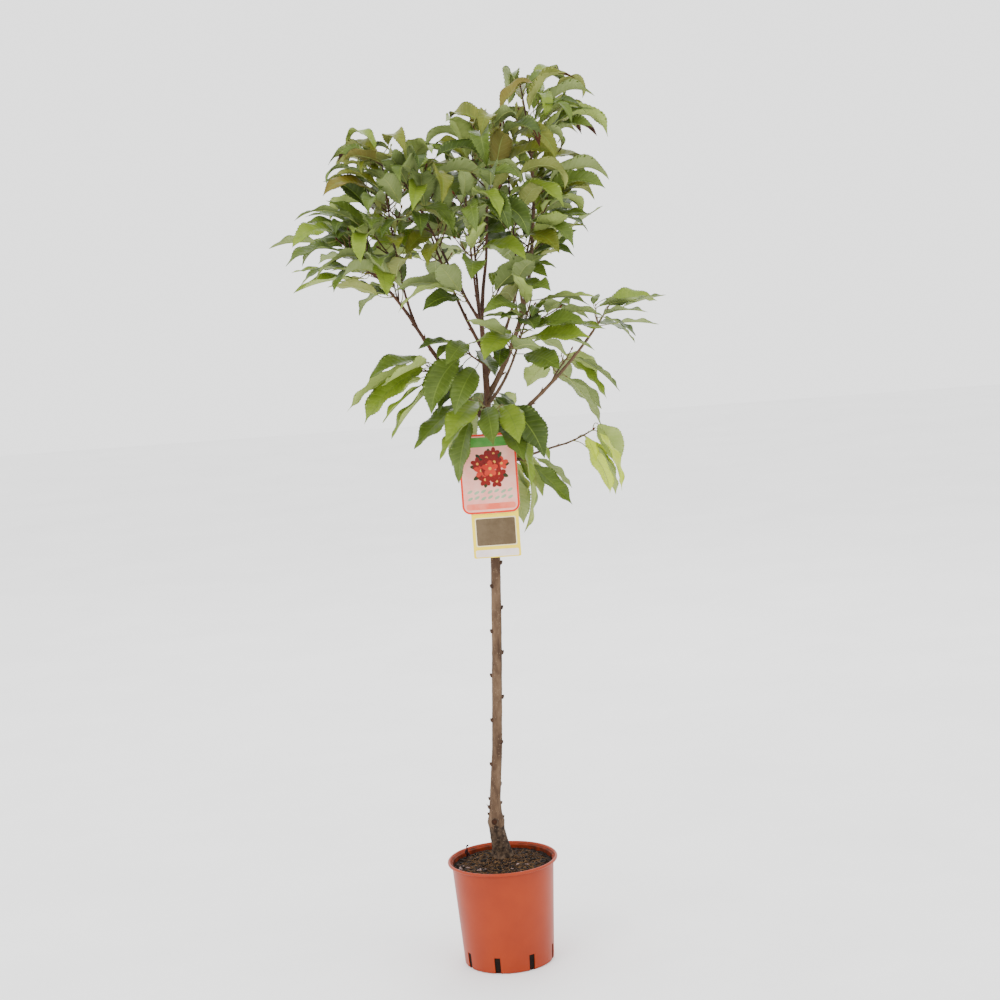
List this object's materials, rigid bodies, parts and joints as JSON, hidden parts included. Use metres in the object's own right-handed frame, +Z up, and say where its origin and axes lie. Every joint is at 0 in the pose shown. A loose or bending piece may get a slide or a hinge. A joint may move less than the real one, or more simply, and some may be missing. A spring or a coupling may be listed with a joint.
{
  "type": "potted cherry tree",
  "caption": "Young grafted sweet cherry tree with long pointed leaves, standing in a tapered plastic nursery pot with slots round its foot and labels hung on its trunk.",
  "frame": {"origin": "the middle of the pot's flat underside, on the ground it stands on", "axes": "+Z up along the tree, -Y towards the side that the labels hang on, +X to the right seen from there"},
  "size_m": [0.7459, 0.5507, 1.7552],
  "materials": {
    "pot_plastic": "satin",
    "potting_soil": "matte",
    "bark": "matte",
    "foliage": "satin",
    "label_card": "satin",
    "label_yellow": "satin"
  },
  "bodies": {
    "root": {"pot": "pot_plastic", "soil": "potting_soil", "trunk": "bark", "bough_left_low": "bark", "bough_left_up": "bark", "bough_left_centre": "bark", "bough_right_centre": "bark", "bough_centre_thin": "bark", "bough_right_low": "bark", "bough_right_bottom": "bark", "bough_back": "bark", "bough_front": "bark", "bough_back_left": "bark", "bough_back_right": "bark", "bough_front_right": "bark", "leaves_left_out": "foliage", "leaves_left_up": "foliage", "leaves_left_centre": "foliage", "leaves_leader": "foliage", "leaves_right_top": "foliage", "leaves_centre_thin": "foliage", "leaves_right_out": "foliage", "leaves_right_bottom": "foliage", "leaves_right_mid": "foliage", "leaves_back": "foliage", "leaves_fork": "foliage", "leaves_trunk_mid": "foliage", "leaves_fork_right": "foliage", "leaves_front": "foliage", "leaves_back_left": "foliage", "leaves_back_right": "foliage", "leaves_front_right": "foliage", "leaves_skirt_left": "foliage", "leaves_skirt_front": "foliage", "leaves_skirt_right": "foliage", "leaves_skirt_low": "foliage", "leaves_skirt_back": "foliage", "label_front": "label_card", "label_back": "label_yellow"}
  },
  "joints": []
}
